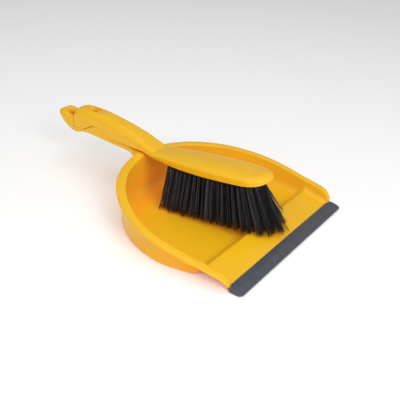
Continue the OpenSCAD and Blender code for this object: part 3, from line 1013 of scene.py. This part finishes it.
def plastic():
    """Satin yellow polypropylene: faint flow marks, orange peel and handling wear on its edges. Painted
    shade turns it a deeper orange in tight places and close under other parts, and a painted orange glow
    lights the inside of the pan."""
    shader = Shader("yellow_polypropylene")
    flow = shader.noise(9, 3, 0.55, (1.0, 2.2, 1.0))
    colour = shader.blend(shader.ramp(flow, 0, 1), (0.87, 0.475, 0.009), (0.90, 0.505, 0.012))
    # painted shade: the colour goes a deeper orange where any object closes in within 4 cm
    painted_shade = shader.ramp(shader.openness(0.04, False), 0.9, 0, 0.1, 0.75)
    colour = shader.blend(painted_shade, colour, (0.97, 0.3, 0.02))
    # painted glow: faint orange emission inside the tray
    painted_glow_in_tray(shader)
    geometry = shader.node("ShaderNodeNewGeometry")
    worn = shader.ramp(geometry.outputs["Pointiness"], 0, 0.35, 0.52, 0.6)
    colour = shader.blend(worn, colour, (0.95, 0.56, 0.03))
    shader.link(colour, shader.surface.inputs["Base Color"])
    scuffs = shader.noise(14, 2, 0.5)
    shader.link(shader.ramp(scuffs, 0.2, 0.25), shader.surface.inputs["Roughness"])
    shader.set({
        "Subsurface Weight": 0.1,
        "Subsurface Scale": 0.003,
        "Subsurface Radius": (1.0, 0.42, 0.08),
        "Specular IOR Level": 0.3,
    })
    peel = shader.noise(620, 2, 0.5)
    waves = shader.noise(38, 2, 0.5)
    shader.bump([(waves, 0.10, 0.0012), (peel, 0.05, 0.0002)])
    return shader


def painted_glow_in_tray(shader):
    """Painted orange glow inside the tray, from the back of its rim on: emission that lights the shaded
    inside in place of light let through the thin walls, stronger where the tray's own faces close in."""
    enclosed = shader.ramp(shader.openness(0.1, True), 0.19, 0, 0.35, 0.85)
    place = shader.node("ShaderNodeSeparateXYZ")
    shader.link(shader.coordinates(), place.inputs["Vector"])
    in_tray = shader.ramp(place.outputs["X"], 0, 1, (X_BACK - 9.4) * MM, (X_BACK + 5.6) * MM)
    glow = shader.node("ShaderNodeMath")
    glow.operation = "MULTIPLY"
    shader.link(enclosed, glow.inputs[0])
    shader.link(in_tray, glow.inputs[1])
    shader.link(glow.outputs["Value"], shader.surface.inputs["Emission Strength"])
    shader.set({"Emission Color": (1.0, 0.18, 0.07, 1)})


def rubber():
    """Dark grey extruded rubber: fine lines along the extrusion and a film of dust."""
    shader = Shader("grey_rubber")
    dust = shader.noise(120, 5, 0.6)
    dusty = shader.ramp(dust, 0, 1, 0.4, 0.75)
    colour = shader.blend(dusty, (0.058, 0.064, 0.078), (0.082, 0.088, 0.104))
    shader.link(colour, shader.surface.inputs["Base Color"])
    shader.link(shader.ramp(dust, 0.5, 0.66), shader.surface.inputs["Roughness"])
    lines = shader.noise(900, 1, 0.4, (1.0, 0.02, 1.0))
    shader.bump([(lines, 0.18, 0.0003), (dust, 0.1, 0.0002)])
    return shader


def filament_plastic():
    """Black synthetic filament: each filament has its own shade and a soft sheen."""
    shader = Shader("black_filament")
    attribute = shader.node("ShaderNodeAttribute")
    attribute.attribute_name = "shade"
    own = attribute.outputs["Fac"]
    colour = shader.blend(own, (0.0015, 0.0013, 0.0018), (0.11, 0.105, 0.12))
    shader.link(colour, shader.surface.inputs["Base Color"])
    shader.link(shader.ramp(own, 0.3, 0.48, 0, 1), shader.surface.inputs["Roughness"])
    shader.set({"Specular IOR Level": 0.25})
    grain = shader.noise(1400, 2, 0.5, (1.0, 1.0, 0.1))
    shader.bump([(grain, 0.1, 0.0001)])
    return shader


def anchor_wire():
    """Drawn steel flat wire."""
    shader = Shader("anchor_wire_steel")
    shader.set({"Metallic": 1.0})
    drawn = shader.noise(2600, 3, 0.5, (1.0, 0.06, 1.0))
    colour = shader.blend(drawn, (0.42, 0.42, 0.44), (0.66, 0.66, 0.68))
    shader.link(colour, shader.surface.inputs["Base Color"])
    shader.link(shader.ramp(drawn, 0.25, 0.45), shader.surface.inputs["Roughness"])
    return shader


def floor_material():
    """Pale matte studio floor that glows a little, so the shadows on it stay light."""
    shader = Shader("pale_floor")
    tone = shader.noise(3, 2, 0.5)
    colour = shader.blend(tone, (0.93, 0.93, 0.93), (0.95, 0.95, 0.95))
    shader.link(colour, shader.surface.inputs["Base Color"])
    shader.set({
        "Roughness": 0.9,
        "Specular IOR Level": 0.1,
        "Emission Strength": 0.12,
        "Emission Color": (1.0, 1.0, 1.0, 1),
    })
    return shader


# =====================================================================================
# Assembly
# =====================================================================================


def attach(piece, material, body, node):
    """Gives a piece its material and its body, and lets it stand for a CAD node."""
    material.put(piece)
    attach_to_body(piece, body)
    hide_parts(node)


YELLOW = plastic()
BLACK = filament_plastic()
STEEL = anchor_wire()

attach(build_pan(), YELLOW, "pan", "dustpan")
attach(build_lip(), rubber(), "pan", "lip_strip")
attach(build_stock(), YELLOW, "brush", "brush_stock")
for number in range(1, len(ROW_Y) + 1):
    attach(build_bristles(number), BLACK, "brush", f"tuft_row_{number}")
    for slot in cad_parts[f"staple_row_{number}"].material_slots:
        slot.material = STEEL.material


# =====================================================================================
# Floor, light and camera
# =====================================================================================


def build_floor():
    """A large square just under the pan, so that the two never share a plane."""
    half = 12.0
    corners = [(-half, -half, 0), (half, -half, 0), (half, half, 0), (-half, half, 0)]
    mesh = bpy.data.meshes.new("floor")
    mesh.from_pydata(corners, [], [(0, 1, 2, 3)])
    floor = add_object("floor", mesh)
    floor.location.z = -0.0004
    floor_material().put(floor)


def softbox(name, place, target, size, watts):
    """Round area light at a place, turned to its target, with its diameter in metres."""
    light = bpy.data.lights.new(name, "AREA")
    light.shape = "DISK"
    light.size = size
    light.energy = watts
    lamp = add_object(name, light)
    lamp.location = place
    lamp.rotation_euler = (Vector(target) - Vector(place)).to_track_quat("-Z", "Y").to_euler()


def build_world():
    """White surroundings. Their light is weaker near the horizon, but the camera sees them pale."""
    horizon, zenith, backdrop = 0.22, 0.6, 0.85
    world = bpy.data.worlds.new("studio")
    world.use_nodes = True
    nodes, links = world.node_tree.nodes, world.node_tree.links
    direction = nodes.new("ShaderNodeTexCoord")
    height = nodes.new("ShaderNodeSeparateXYZ")
    links.new(direction.outputs["Generated"], height.inputs["Vector"])
    strength = nodes.new("ShaderNodeMapRange")
    strength.inputs["To Min"].default_value = horizon
    strength.inputs["To Max"].default_value = zenith
    links.new(height.outputs["Z"], strength.inputs["Value"])
    seen = nodes.new("ShaderNodeLightPath")
    chosen = nodes.new("ShaderNodeMix")
    links.new(seen.outputs["Is Camera Ray"], chosen.inputs["Factor"])
    links.new(strength.outputs["Result"], chosen.inputs["A"])
    chosen.inputs["B"].default_value = backdrop
    links.new(chosen.outputs["Result"], nodes["Background"].inputs["Strength"])
    nodes["Background"].inputs["Color"].default_value = (1.0, 1.0, 1.0, 1)
    bpy.context.scene.world = world


def build_lights():
    """Four softboxes aimed at the middle of the object: in front, at the left, at the lip and above."""
    aim = (0.03, 0.0, 0.03)
    softbox("key", (0.05, -0.85, 0.9), aim, 0.5, 2.0)
    softbox("left", (-0.55, -0.9, 0.42), aim, 0.22, 0.7)
    softbox("front", (1.0, -0.42, 0.62), aim, 0.6, 6.4)
    softbox("top", (0.05, 0.1, 1.3), aim, 1.3, 3.2)


def build_camera():
    """Camera beside the object, turned round towards the lip, looking down, with a slight roll."""
    azimuth, elevation, roll = (math.radians(a) for a in (35.52, 29.70, 2.51))
    distance = 0.632
    target = Vector((0.0492, 0.0, 0.0098))
    level = Vector((math.cos(azimuth), math.sin(azimuth), 0))
    away = Vector((math.sin(azimuth), -math.cos(azimuth), 0))
    back = away * math.cos(elevation) + Vector((0, 0, math.sin(elevation)))
    up = back.cross(level)
    right = level * math.cos(roll) + up * math.sin(roll)
    up = back.cross(right)
    data = bpy.data.cameras.new("camera")
    data.lens = 51.31
    data.sensor_width = 36.0
    data.clip_start = 0.01
    camera = add_object("camera", data)
    turned = Matrix((right, up, back)).transposed().to_4x4()
    camera.matrix_world = Matrix.Translation(target + back * distance) @ turned
    bpy.context.scene.camera = camera


build_floor()
build_world()
build_lights()
build_camera()
bpy.context.scene.view_settings.view_transform = "Standard"
